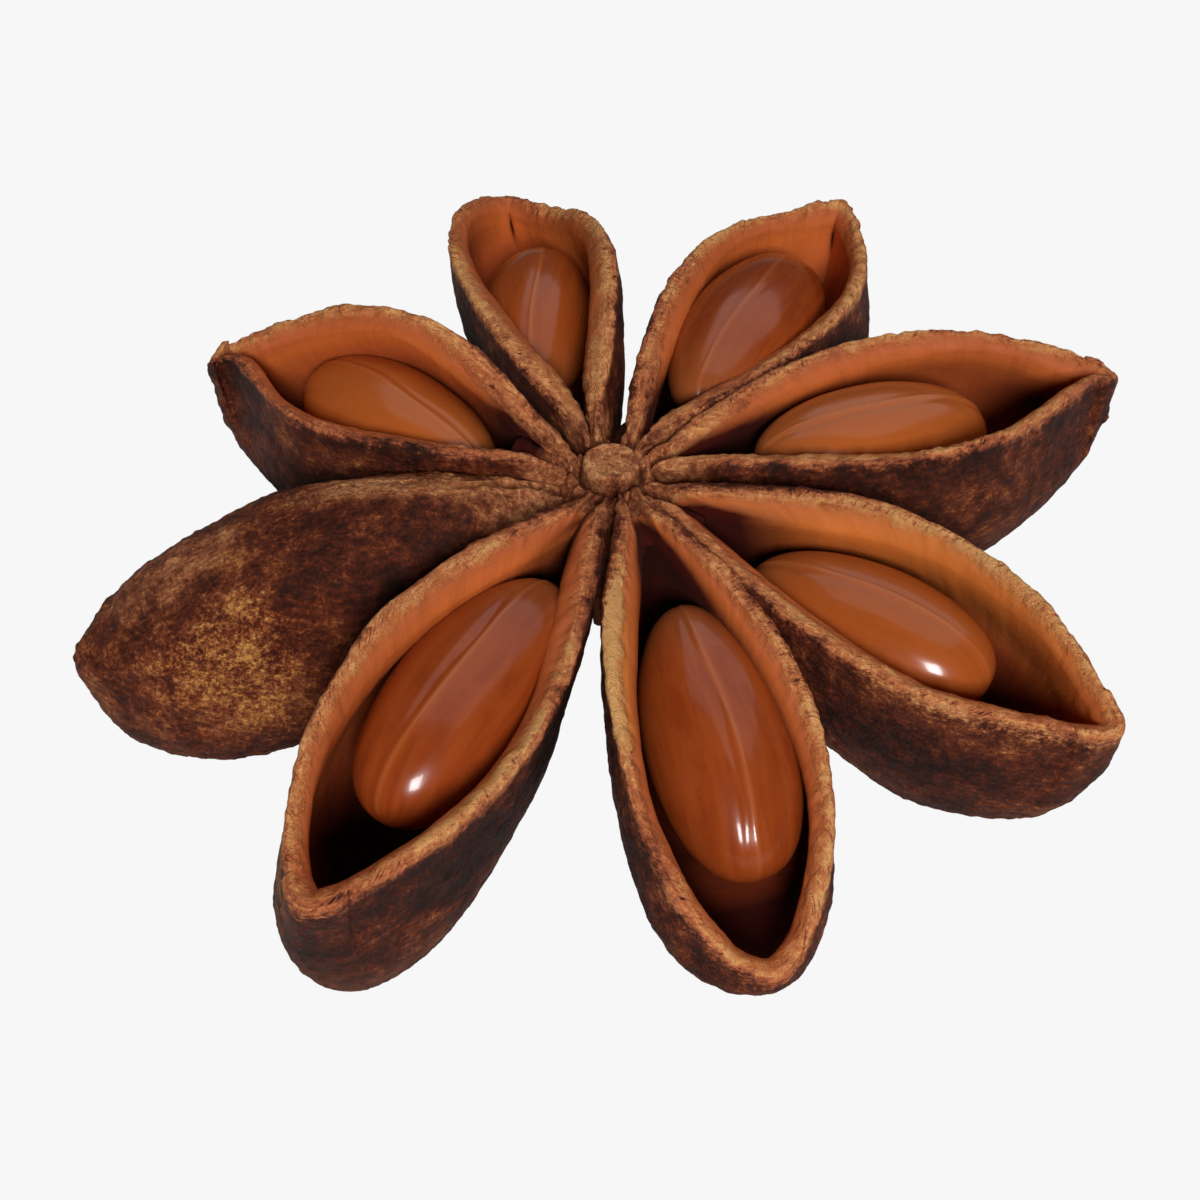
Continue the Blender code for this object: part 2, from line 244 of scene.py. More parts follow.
def closed_grid(name, grid, material, marks):
    """A mesh of rings from one pole to the other, in metres, with its marks as point attributes."""
    rows, columns = grid.shape[:2]
    points = np.concatenate([grid.reshape(-1, 3), grid[0].mean(axis=0)[None], grid[-1].mean(axis=0)[None]])
    ring = np.arange(columns)
    after = (ring + 1) % columns
    row = np.arange(rows - 1)[:, None] * columns
    quads = np.stack([row + ring, row + after, row + columns + after, row + columns + ring], axis=-1).reshape(-1, 4)
    first, last = rows * columns, rows * columns + 1
    top = (rows - 1) * columns
    low_fan = np.stack([np.full(columns, first), after, ring], axis=-1)
    high_fan = np.stack([top + ring, top + after, np.full(columns, last)], axis=-1)
    mesh = bpy.data.meshes.new(name)
    mesh.from_pydata((points * METRES).tolist(), [], quads.tolist() + low_fan.tolist() + high_fan.tolist())
    mesh.shade_smooth()
    for label, values in marks.items():
        kind = "FLOAT_VECTOR" if values.ndim == 3 else "FLOAT"
        values = values.reshape(rows * columns, -1)
        values = np.concatenate([values, values[:1], values[-1:]])
        field = mesh.attributes.new(label, kind, "POINT")
        field.data.foreach_set("vector" if kind == "FLOAT_VECTOR" else "value", values.astype(np.float32).ravel())
    mesh.materials.append(material)
    piece = bpy.data.objects.new(name, mesh)
    bpy.context.collection.objects.link(piece)
    return piece


def add(tree, kind, values=None, **settings):
    """A shader node with its settings and the values or links of its sockets."""
    node = tree.nodes.new(kind)
    for key, value in settings.items():
        setattr(node, key, value)
    for key, value in (values or {}).items():
        if isinstance(value, bpy.types.NodeSocket):
            tree.links.new(value, node.inputs[key])
        else:
            node.inputs[key].default_value = value
    return node


def maths(tree, operation, *values):
    """The result of a sum on values or links."""
    return add(tree, "ShaderNodeMath", dict(enumerate(values)), operation=operation).outputs[0]


def ramped(tree, value, low, high, start=0.0, end=1.0):
    """The value mapped smoothly from low..high to start..end."""
    sockets = {0: value, 1: low, 2: high, 3: start, 4: end}
    return add(tree, "ShaderNodeMapRange", sockets, interpolation_type="SMOOTHSTEP").outputs[0]


def about_zero(tree, value):
    """A noise that spreads about 0.5, moved to spread about 0."""
    return maths(tree, "SUBTRACT", value, 0.5)


def noise(tree, place, scale, detail, roughness):
    """Layered noise with its scale in layers for each mm."""
    sockets = {"Vector": place, "Scale": scale, "Detail": detail, "Roughness": roughness}
    return add(tree, "ShaderNodeTexNoise", sockets).outputs[0]


def in_millimetres(tree):
    """The object's own coordinates, in mm."""
    place = add(tree, "ShaderNodeTexCoord").outputs["Object"]
    return add(tree, "ShaderNodeVectorMath", {0: place, 3: 1.0 / METRES}, operation="SCALE").outputs[0]


def mark_of(tree, label, output="Fac"):
    """A mark that the mesh carries at its points."""
    return add(tree, "ShaderNodeAttribute", attribute_name=label).outputs[output]


def layered(tree, mask, under, over):
    """One colour laid over another where the mask is 1."""
    return add(tree, "ShaderNodeMix", {0: mask, 6: under, 7: over}, data_type="RGBA").outputs[2]


def paint(red, green, blue):
    """A colour given in the 0 to 255 of a screen, as linear light."""
    share = np.array([red, green, blue]) / 255.0
    linear = np.where(share <= 0.04045, share / 12.92, ((share + 0.055) / 1.055) ** 2.4)
    return (*[float(value) for value in linear], 1.0)


def new_group(name, inputs, outputs):
    """An empty shader node group with named sockets, and its two ends."""
    tree = bpy.data.node_groups.new(name, "ShaderNodeTree")
    for label, kind in inputs:
        tree.interface.new_socket(label, in_out="INPUT", socket_type=kind)
    for label, kind in outputs:
        tree.interface.new_socket(label, in_out="OUTPUT", socket_type=kind)
    return tree, tree.nodes.new("NodeGroupInput").outputs, tree.nodes.new("NodeGroupOutput").inputs


def graded(tree, value, *stops):
    """A colour for each level of the value, blended between the stops."""
    node = add(tree, "ShaderNodeValToRGB", {0: value})
    levels = node.color_ramp.elements
    levels[0].position, levels[1].position = stops[0][0], stops[-1][0]
    for level, _ in stops[1:-1]:
        levels.new(level)
    for element, (_, colour) in zip(levels, stops):
        element.color = colour
    return node.outputs[0]


# Blotches: stains of one size with ragged edges, from layered noise cut between two levels.
blotch_tree, taken, given = new_group(
    "blotches",
    [("Place", "NodeSocketVector"), ("Size", "NodeSocketFloat"), ("Low", "NodeSocketFloat"),
     ("High", "NodeSocketFloat")],
    [("Mask", "NodeSocketFloat")],
)
stain = noise(blotch_tree, taken["Place"], maths(blotch_tree, "DIVIDE", 1.0, taken["Size"]), 7.0, 0.68)
blotch_tree.links.new(ramped(blotch_tree, stain, taken["Low"], taken["High"]), given["Mask"])

# Fibres: streaks that run with the grain, from noise stretched along it. Lean skews them away from the lip's
# crest on both sides, which makes the herringbone of a weathered lip.
fibre_tree, taken, given = new_group(
    "fibres",
    [("Grain", "NodeSocketVector"), ("Length", "NodeSocketFloat"), ("Width", "NodeSocketFloat"),
     ("Lean", "NodeSocketFloat")],
    [("Height", "NodeSocketFloat")],
)
parts = add(fibre_tree, "ShaderNodeSeparateXYZ", {0: taken["Grain"]}).outputs
slide = maths(fibre_tree, "MULTIPLY", maths(fibre_tree, "ABSOLUTE", parts[1]), taken["Lean"])
along = maths(fibre_tree, "DIVIDE", maths(fibre_tree, "ADD", parts[0], slide), taken["Length"])
across = maths(fibre_tree, "DIVIDE", parts[1], taken["Width"])
streak = add(fibre_tree, "ShaderNodeCombineXYZ", {0: along, 1: across, 2: parts[2]}).outputs[0]
thread = add(
    fibre_tree, "ShaderNodeTexNoise",
    {"Vector": streak, "Scale": 1.0, "Detail": 4.0, "Roughness": 0.62, "Distortion": 0.3},
)
fibre_tree.links.new(thread.outputs[0], given["Height"])


def blotches(tree, place, size, low, high):
    """A mask of stains this many mm wide."""
    values = {"Place": place, "Size": size, "Low": low, "High": high}
    return add(tree, "ShaderNodeGroup", values, node_tree=blotch_tree).outputs["Mask"]


def fibres(tree, grain, length, width, lean=0.0):
    """The height of streaks this many mm long and wide."""
    values = {"Grain": grain, "Length": length, "Width": width, "Lean": lean}
    return add(tree, "ShaderNodeGroup", values, node_tree=fibre_tree).outputs["Height"]


# Mottle: weathering at four sizes at once, from broad stains through streaks along the grain to fine specks. It
# spreads about 0.5, and Shift moves a whole area towards gold or towards black, with stronger specks in gold.
mottle_tree, taken, given = new_group(
    "mottle",
    [("Place", "NodeSocketVector"), ("Grain", "NodeSocketVector"), ("Shift", "NodeSocketFloat")],
    [("Value", "NodeSocketFloat")],
)
total = taken["Shift"]
speck = ramped(mottle_tree, taken["Shift"], 0.0, 0.24, 0.8, 1.7)
for size, detail, roughness, weight in ((2.6, 5.0, 0.65, 0.9), (0.75, 8.0, 0.78, 1.15), (0.16, 4.0, 0.85, speck)):
    layer = noise(mottle_tree, taken["Place"], 1.0 / size, detail, roughness)
    total = maths(mottle_tree, "MULTIPLY_ADD", about_zero(mottle_tree, layer), weight, total)
strand = fibres(mottle_tree, taken["Grain"], 0.7, 0.14)
total = maths(mottle_tree, "MULTIPLY_ADD", about_zero(mottle_tree, strand), 0.4, total)
mottle_tree.links.new(maths(mottle_tree, "ADD", total, 0.5), given["Value"])

# Dried husk: red-brown skin mottled from black through rust to gold outside, rust and gold lips flecked with black,
# paler bare wood on the necks, and an orange lining painted darker red with depth, as painted shade. Painted shade
# also turns the cavities near-black red close to the hub and at marked spots, and on the shut follicle's top the
# paler bare wood is painted light. The grain's second value is the way across the lip in mm, below zero outside and
# above zero inside, so the finishes meet along ragged lines.
husk = bpy.data.materials.new("dried husk")
husk.use_nodes = True
tree = husk.node_tree
shader = tree.nodes["Principled BSDF"]
place = in_millimetres(tree)
grain = mark_of(tree, "grain", "Vector")
# The gold mark is wear rubbed to gold, and some of its spots are painted light on lining walls or painted shade on
# outer walls between follicles. The other mark is painted shade, near-black red where the cavities lie in shadow.
gilt_and_painted_light, painted_shade = mark_of(tree, "gilt_and_painted_light"), mark_of(tree, "painted_shade")
ragged = about_zero(tree, noise(tree, place, 1.6, 6.0, 0.65))
across = add(tree, "ShaderNodeSeparateXYZ", {0: grain}).outputs[1]
wander = maths(tree, "MULTIPLY_ADD", ragged, 0.9, across)
inside = ramped(tree, wander, 0.0, 0.34)
shift = maths(tree, "MULTIPLY", gilt_and_painted_light, 0.24)
weathering = {"Place": place, "Grain": grain, "Shift": shift}
mottle = add(tree, "ShaderNodeGroup", weathering, node_tree=mottle_tree).outputs[0]

skin = graded(
    tree, mottle,
    (0.18, paint(24, 9, 6)), (0.36, paint(56, 20, 12)), (0.50, paint(86, 33, 17)), (0.61, paint(114, 51, 26)),
    (0.72, paint(150, 82, 46)), (0.84, paint(190, 122, 64)), (0.94, paint(220, 158, 84)),
)
bare_wood = graded(
    tree, mottle,
    (0.20, paint(44, 17, 10)), (0.36, paint(98, 47, 30)), (0.50, paint(146, 80, 49)), (0.62, paint(184, 111, 70)),
    (0.74, paint(208, 140, 90)), (0.88, paint(232, 174, 118)),
)

# The rim's wear runs from black in the flecks to pale gold, and turns to the lining's rust at its inner edge.
long_fibre = fibres(tree, grain, 1.8, 0.2)
fleck = ramped(tree, fibres(tree, grain, 0.10, 0.40, 1.1), 0.52, 0.68)
flecked = maths(tree, "MULTIPLY", fleck, blotches(tree, place, 0.9, 0.36, 0.56))
worn = maths(tree, "MULTIPLY_ADD", mottle, 0.62, 0.265)
worn = maths(tree, "MULTIPLY_ADD", about_zero(tree, long_fibre), 0.5, worn)
worn = maths(tree, "MULTIPLY_ADD", flecked, -0.34, worn)
worn = maths(tree, "MULTIPLY_ADD", gilt_and_painted_light, 0.12, worn)
worn = maths(tree, "ADD", worn, ramped(tree, wander, -0.9, 0.0, -0.05, 0.03))
rim = graded(
    tree, worn,
    (0.26, paint(44, 22, 18)), (0.37, paint(94, 46, 33)), (0.47, paint(148, 76, 49)), (0.57, paint(184, 101, 63)),
    (0.68, paint(212, 132, 80)), (0.80, paint(236, 174, 108)),
)
rim = layered(tree, ramped(tree, wander, -0.25, 0.1, 0.0, 0.5), rim, paint(194, 102, 50))

# The lining darkens with depth, as painted shade deeper in the cavity, is ribbed across the grain, and is ochre
# where
# marked by gilt: partly its own ochre, partly painted light on walls that face the light.
lining = graded(
    tree, mark_of(tree, "deep"),
    (0.03, paint(178, 90, 50)), (0.12, paint(210, 108, 48)), (0.28, paint(190, 90, 42)), (0.50, paint(136, 56, 28)),
    (0.78, paint(66, 15, 7)),
)
rib = ramped(tree, fibres(tree, grain, 0.28, 2.6), 0.45, 0.72, 0.0, 0.22)
lining = layered(tree, rib, lining, paint(132, 54, 22))
lining = layered(tree, ramped(tree, long_fibre, 0.45, 0.75, 0.0, 0.2), lining, paint(150, 70, 32))
lining = layered(tree, ramped(tree, gilt_and_painted_light, 0.0, 1.0, 0.0, 0.6), lining, paint(208, 124, 50))

rim_edge = maths(tree, "MULTIPLY_ADD", about_zero(tree, mottle), 1.1, wander)
body = layered(tree, ramped(tree, rim_edge, -0.85, -0.35), skin, rim)
# Paler bare wood on the necks; on the shut follicle the same mark also paints light on the top and left flank.
body = layered(tree, ramped(tree, maths(tree, "ADD", mark_of(tree, "bare_and_painted_light"), ragged), 0.2, 0.8), body, bare_wood)
body = layered(tree, inside, body, lining)
# Painted shade: near-black red where the cavities, the hub end of each lining and the gaps round the column lie in
# shadow.
body = layered(tree, painted_shade, body, paint(56, 4, 1))
tree.links.new(body, shader.inputs["Base Color"])
shader.inputs["Specular IOR Level"].default_value = 0.3
shader.inputs["Specular Tint"].default_value = (1.0, 0.74, 0.60, 1.0)
fine = blotches(tree, place, 0.16, 0.3, 0.7)
dry = maths(tree, "ADD", ramped(tree, fine, 0.0, 1.0, -0.06, 0.10), maths(tree, "MULTIPLY_ADD", inside, 0.12, 0.46))
# The painted shade is also made rough, so it takes no sheen.
tree.links.new(maths(tree, "MAXIMUM", dry, painted_shade), shader.inputs["Roughness"])
relief = maths(tree, "MULTIPLY_ADD", mottle, 1.6, fine)
relief = maths(tree, "MULTIPLY", relief, maths(tree, "MULTIPLY_ADD", inside, -0.85, 1.0))
bump = add(tree, "ShaderNodeBump", {"Strength": 1.0, "Distance": 0.00003, "Height": relief})
tree.links.new(bump.outputs[0], shader.inputs["Normal"])


def patches(turn, down, spots):
    """Soft spots on the walls: the sum of a bell round the rim times a bell down from the lip."""
    return sum((strength * bell(turn, middle, reach)[None] * np.exp(-(((down - level) / height) ** 2))
                for middle, reach, level, height, strength in spots), np.zeros_like(down))


# Relief of the husk, in mm: sizes even or stretched along the grain, and heights on the skin, lip and lining.
BROAD_SIZE, BROAD_HEIGHTS = 2.4, (0.06, 0.06, 0.04)
WRINKLE_STRETCH, WRINKLE_HEIGHTS = np.array([2.6, 0.30, 1.0]), (0.022, 0.022, 0.004)
CORD_GAIN, CORD_REACH = 2.0, 4.5
RIB_STRETCH, RIB_HEIGHT = np.array([0.55, 3.0, 1.0]), 0.014
NICK_STRETCH, NICK_HEIGHT = np.array([0.35, 0.8, 1.0]), 0.05
GRIT_SIZE, GRIT_HEIGHTS = 0.28, (0.030, 0.036, 0.001)
CRUST_SIZE, CRUST_HEIGHT = 0.5, 0.13
SPIKE_SIZE, SPIKE_HEIGHT, SPIKE_SHARPNESS = 0.6, 0.24, 1.2
SKIN_SET_BACK = 0.03
OUTER_FADE_ROWS, INNER_FADE_ROWS = 4.0, 14.0


def husk_relief(own, turn, down, marks, crags, draw):
    """Height of the wrinkled skin in mm: broad lumps, wrinkles along the grain that swell to cords at the neck, ribs
    down the lining, nicks over the lip, fine grit, a crust where the neck meets the hub, and crags where marked. It
    fades to nothing at both poles."""
    run = marks["grain"]
    inside = np.clip(run[..., 1] / 0.4, 0.0, 1.0)
    lip = np.exp(-((run[..., 1] + 0.1) / 0.45) ** 2)
    skin = (1.0 - inside) * (1.0 - lip)

    def on(heights):
        return heights[0] * skin + heights[1] * lip + heights[2] * inside

    cords = 1.0 + CORD_GAIN * np.exp(-((own[..., 0] / CORD_REACH) ** 2))
    lumps = rough(own, BROAD_SIZE, 3, draw) * on(BROAD_HEIGHTS)
    wrinkles = rough(run / WRINKLE_STRETCH, 1.0, 3, draw + 1) * cords * on(WRINKLE_HEIGHTS)
    grit = rough(own, GRIT_SIZE, 3, draw + 2) * on(GRIT_HEIGHTS)
    spikes = np.maximum(rough(own, SPIKE_SIZE, 3, draw + 3), 0.0) ** SPIKE_SHARPNESS * SPIKE_HEIGHT
    spikes = spikes * patches(turn, down, crags) * (1.0 - inside)
    ribs = rough(run / RIB_STRETCH, 1.0, 2, draw + 4) * RIB_HEIGHT * inside
    nicks = rough(run / NICK_STRETCH, 1.0, 3, draw + 5) * NICK_HEIGHT * lip
    at_hub = np.clip(1.7 - 0.6 * own[..., 0], 0.0, 1.0) * (1.0 - inside)
    crust = rough(own, CRUST_SIZE, 3, draw + 6) * CRUST_HEIGHT * at_hub
    row = np.arange(len(own))
    fade = np.clip(np.minimum(row / OUTER_FADE_ROWS, (len(own) - 1 - row) / INNER_FADE_ROWS), 0.0, 1.0)
    return (lumps + wrinkles + ribs + nicks + grit + crust + spikes - SKIN_SET_BACK * skin) * fade[:, None]


# Angles round from the beak, the share of the length that they stand for, and the side of the middle.
turn = np.arange(AROUND) / AROUND * 2.0 * math.pi
share = (1.0 + np.cos(turn)) / 2.0
side = np.sign(np.round(np.sin(turn), 9))
RIM_STRETCH = 1.08
NECK_SKIN_REACH = 5.5
NECK_GILT, NECK_GILT_REACH = 0.5, 3.2
BARE_REACH = 2.8
HUB_DARK, HUB_DARK_FROM, HUB_DARK_FADE = 0.8, 1.15, 0.15
HUB_SHADE_END, HUB_SHADE_FADE = 0.432, 0.16


def husk_marks(part, own, out_x, draw):
    """What the material reads, from the way along each column past the lip's crest and the way out from the hub."""
    travel = travelled(own)
    past = travel - travel[OUTER_ROWS + LIP_ROWS // 2]
    x = own[..., 0]
    half = np.where(turn <= math.pi, 1.0, -1.0)
    along = half * np.maximum(part["length"] + BEAK_OVERHANG - out_x, 0.0) * RIM_STRETCH
    neck_skin = part["skin_in"] * np.exp(-((x / NECK_SKIN_REACH) ** 4)) * np.clip(past / 0.3, 0.0, 1.0)
    # Painted shade: the lining is painted near-black red close to the hub, under the lip at its hub end, and at each
    # follicle's shade spots.
    hub_end = bell(turn, 180, HUB_END_REACH)
    dark = HUB_DARK * np.clip((HUB_DARK_FROM - x) / HUB_DARK_FADE, 0.0, 1.0)
    under_hub = np.clip((past - 0.5 + 0.4 * hub_end) / (1.0 - 0.6 * hub_end), 0.0, 1.0)
    under_hub = under_hub * np.clip((HUB_SHADE_END - x / part["length"]) / HUB_SHADE_FADE, 0.0, 1.0)
    shade = np.clip((past - 0.4) / 0.8, 0.0, 1.0) * patches(turn, past, part["shade"])
    return {
        "deep": np.clip(np.abs(past) / (part["depth"] + 1.0), 0.0, 1.0),
        "grain": np.stack(np.broadcast_arrays(along, past - neck_skin, float(draw)), axis=-1),
        "gilt_and_painted_light": patches(turn, -past, part["gilt_and_painted_light"]) + NECK_GILT * np.exp(-((x / NECK_GILT_REACH) ** 2)),
        "bare_and_painted_light": np.exp(-((x / BARE_REACH) ** 4)) * np.clip((0.5 - past) / 0.4, 0.0, 1.0),
        "painted_shade": np.clip(dark + under_hub + shade, 0.0, 1.0),
    }


def open_follicle(part, draw):
    """Rings from the keel up the outer wall, over each lip on half an ellipse, and down the lining. Both rims are
    almonds seen from above: the outer one ends in a circle at the beak, and the opening is rounded off there. The
    lining widens below the lip and reaches under it at the hub."""
    length, gape, beak = part["length"], part["half_gape"], part["beak_taper"]
    out_x = NECK_START + (length + BEAK_OVERHANG - NECK_START) * share
    blunt = np.sqrt(np.maximum(BEAK_RADIUS**2 - (out_x - length - BEAK_OVERHANG + BEAK_RADIUS) ** 2, 0.0))
    blunt = np.where(out_x > length + BEAK_OVERHANG - BEAK_RADIUS, blunt, 0.0)
    sharp = (gape + LIP_OUTWARD) * almond(share, OUTER_TAPER_IN, OUTER_TAPER_OUT * beak)
    out_y = side * (sharp**4 + blunt**4) ** 0.25
    in_x = part["opens_at"] + (length - BEAK_WALL - part["opens_at"]) * share
    opening = np.maximum(gape * almond(in_x / length, LIP_TAPER_IN, beak) - LIP_INWARD, NARROWEST_OPENING)
    cap = np.clip((length - BEAK_WALL - in_x) / BEAK_CAP, 0.0, 1.0)
    cap = np.sqrt(cap * (2.0 - cap))
    opening = opening * cap
    in_y = side * opening
    fullness = np.minimum(np.hypot(out_x - in_x, out_y - in_y) / (LIP_OUTWARD + LIP_INWARD), 1.0)
    height = LIP_HEIGHT * fullness**0.8
    shift_x, shift_y, shift_up = swell_shift(part, turn, out_y)
    out_x, out_y, in_x, in_y = out_x + shift_x, out_y + shift_y, in_x + shift_x, in_y + shift_y
    in_y = side * np.maximum(side * in_y, NARROWEST_OPENING * cap)
    out_z = rim_height(part, out_x) + shift_up - height
    in_z = rim_height(part, in_x) + shift_up - height - LIP_INNER_FALL * fullness**2

    drops = np.linspace(OUTER_END, 0.0, OUTER_ROWS)[:, None]
    rounding = 1.0 - BEAK_ROUNDING * eased(np.minimum(drops / BEAK_ROUNDING_DROP, 1.0))
    hull_y = (gape + LIP_OUTWARD) * almond(share, OUTER_TAPER_IN, OUTER_TAPER_OUT * beak * rounding)
    hull_y = side * (hull_y**4 + blunt**4) ** 0.25 + shift_y
    outer = hang(part, (out_x, hull_y, out_z), drops, part["depth"])
    outer[..., 0] += part["chin"] * bell(turn, 0, CHIN_REACH) * np.sqrt(np.sin(drops * math.pi))

    arc = np.linspace(0.0, math.pi, LIP_ROWS + 2)[1:-1, None]
    over = [(a + b) / 2.0 + (a - b) / 2.0 * np.cos(arc) for a, b in ((out_x, in_x), (out_y, in_y), (out_z, in_z))]
    over[2] = over[2] + height * np.sin(arc)
    lip = np.stack(over, axis=-1)

    drops = np.linspace(0.0, LINING_END, LINING_ROWS)[:, None]
    full = (gape + LIP_OUTWARD - SIDE_WALL) * almond(share, CAVITY_TAPER_IN, OUTER_TAPER_OUT * beak)
    wide_y = in_y + side * np.maximum(full - opening, 0.0) * eased(np.minimum(drops / UNDERCUT_DROP, 1.0))
    lining = hang(part, (in_x, wide_y, in_z), drops, part["depth"] - KEEL_WALL)
    lining[..., 0] -= HUB_UNDERCUT * bell(turn, 180, HUB_UNDERCUT_REACH) * np.sqrt(np.sin(drops * math.pi))

    own = np.concatenate([outer, lip, lining])
    marks = husk_marks(part, own, out_x, draw)
    travel = travelled(own)
    down = np.abs(travel - travel[OUTER_ROWS + LIP_ROWS // 2])
    own = own + normals(own) * husk_relief(own, turn, down, marks, part["crags"], draw)[..., None]
    return into_pod(part, own), marks


FIRST_DRAW, DRAW_STEP = 100, 31
for number, part in enumerate(FOLLICLES):
    grid, marks = open_follicle(part, FIRST_DRAW + DRAW_STEP * number)
    piece = closed_grid(part["name"], grid, husk, marks)
    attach(piece, "root")
    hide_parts("pod")

# The shut follicle never split: a smooth, bean-like body with a long rounded top, wrinkled along its length, with
# a patch where the skin has worn to gold. A band along its top and a patch on its left flank are painted paler, as
# painted light.
SHUT = follicle("follicle_8", -159.06, 16.81, 2.76, 1.10, 0.57, 7.60, 6.91, 0.79, 0.90, 0.0, 0.17,
                crags=((0, 60, 8.5, 1.5, 0.4),),
                gilt_and_painted_light=((60, 13, 5.9, 1.4, 1.1), (50, 20, 7.6, 1.2, 0.4), (66, 20, 4.2, 1.0, 0.5),
                      (-120, 70, 1.2, 1.1, 0.5), (100, 40, 3.2, 1.6, -0.6)))
# Paler bare wood spots on the shut follicle: the first two are painted light, a band along the top and a patch on
# the left flank, lit from the upper left; the third pales the hub end.
SHUT_BARE_AND_PAINTED_LIGHT = ((-120, 70, 1.2, 1.1, 0.9), (-20, 45, 5.5, 2.4, 0.9), (170, 40, 1.5, 2.0, 0.4))
SHUT_RIM_DROP = 1.49
SHUT_TOP_RISE = -0.02
SHUT_OUTWARD = 0.23
SHUT_TAPER_IN = 1.0
SHUT_TAPER_OUT = 0.62
SHUT_ROUGHNESS = 1.3
SHUT_DRAW = 400
DOME_ROWS = 60
DOME_MIDDLE_SHARE = 0.49
DOME_FULLNESS = 0.81


def shut_follicle():
    """Rings from the keel up the outer wall to the widest line, then over a dome: x and y close in by cos^fullness
    on a middle line while z rises by the sine to the crown's arch."""
    length, gape = SHUT["length"], SHUT["half_gape"]
    out_x = NECK_START + (length + BEAK_OVERHANG - NECK_START) * share
    out_y = side * (gape + SHUT_OUTWARD) * almond(share, SHUT_TAPER_IN, SHUT_TAPER_OUT)
    out_z = rim_height(SHUT, out_x) - SHUT_RIM_DROP
    drops = np.linspace(OUTER_END, 0.0, OUTER_ROWS)[:, None]
    outer = hang(SHUT, (out_x, out_y, out_z), drops, SHUT["depth"])
    rises = np.linspace(0.0, OUTER_END, DOME_ROWS + 1)[1:, None]
    inward = np.cos(rises * math.pi / 2.0) ** DOME_FULLNESS
    middle = DOME_MIDDLE_SHARE * length
    top_x = middle + (out_x - middle) * inward
    arch = 4.0 * (top_x / length) * (1.0 - top_x / length)
    crown_z = rim_height(SHUT, top_x) + SHUT_TOP_RISE * arch
    top_z = out_z + (crown_z - out_z) * np.sin(rises * math.pi / 2.0)
    own = np.concatenate([outer, np.stack([top_x, out_y * inward, top_z], axis=-1)])
    travel = travelled(own)
    down = travel[-1] - travel
    x = own[..., 0]
    along = np.where(turn <= math.pi, 1.0, -1.0) * (length + BEAK_OVERHANG - out_x)
    marks = {
        "deep": np.clip(down / 8.0, 0.0, 1.0),
        "grain": np.stack(np.broadcast_arrays(along, -down - 1.4, 9.0), axis=-1),
        "gilt_and_painted_light": patches(turn, down, SHUT["gilt_and_painted_light"]) + 0.2 + 0.5 * np.exp(-((x / 5.0) ** 2)),
        "bare_and_painted_light": 0.9 * np.exp(-((x / 4.4) ** 2)) + patches(turn, down, SHUT_BARE_AND_PAINTED_LIGHT),
        "painted_shade": np.zeros_like(down),
    }
    skin = SHUT_ROUGHNESS * husk_relief(own, turn, down, marks, SHUT["crags"], SHUT_DRAW)
    return into_pod(SHUT, own + normals(own) * skin[..., None]), marks


grid, marks = shut_follicle()
piece = closed_grid(SHUT["name"], grid, husk, marks)
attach(piece, "root")
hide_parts("pod")

# The column: the woody middle that the follicles grow from, with the round scar of the flower on top, a groove
# round it and knobbly lumps where each neck ends. Lower down, a web joins each two neighbouring necks.
COLUMN_AROUND = 300
COLUMN_PROFILE = (  # radius, height from the top of the hub
    (0.02, 0.21), (0.42, 0.21), (0.62, 0.22), (0.72, 0.32), (0.80, 0.33), (0.88, 0.20), (0.93, -0.20), (1.00, -0.50),
    (1.20, -0.50), (1.42, -0.60), (1.60, -0.90), (1.76, -1.50), (1.84, -2.30), (1.78, -3.10), (1.55, -4.00),
    (1.15, -4.55), (0.60, -4.76), (0.02, -4.80),
)
WEB_REACH = 2.5
WEB_LEVEL = -2.3
WEB_HEIGHT = 1.1
WEB_SPREAD = 9.0
COLUMN_ROWS = 150
COLUMN_DRAW = 501
LUMP_OUT = 1.26
LUMP_ASIDE = 11.0
LUMP_REACH = 0.19
LUMP_HEIGHT = 0.42
LUMP_FLOOR = -1.2
KNOB_SIZE, KNOB_HEIGHT = 0.35, 0.07


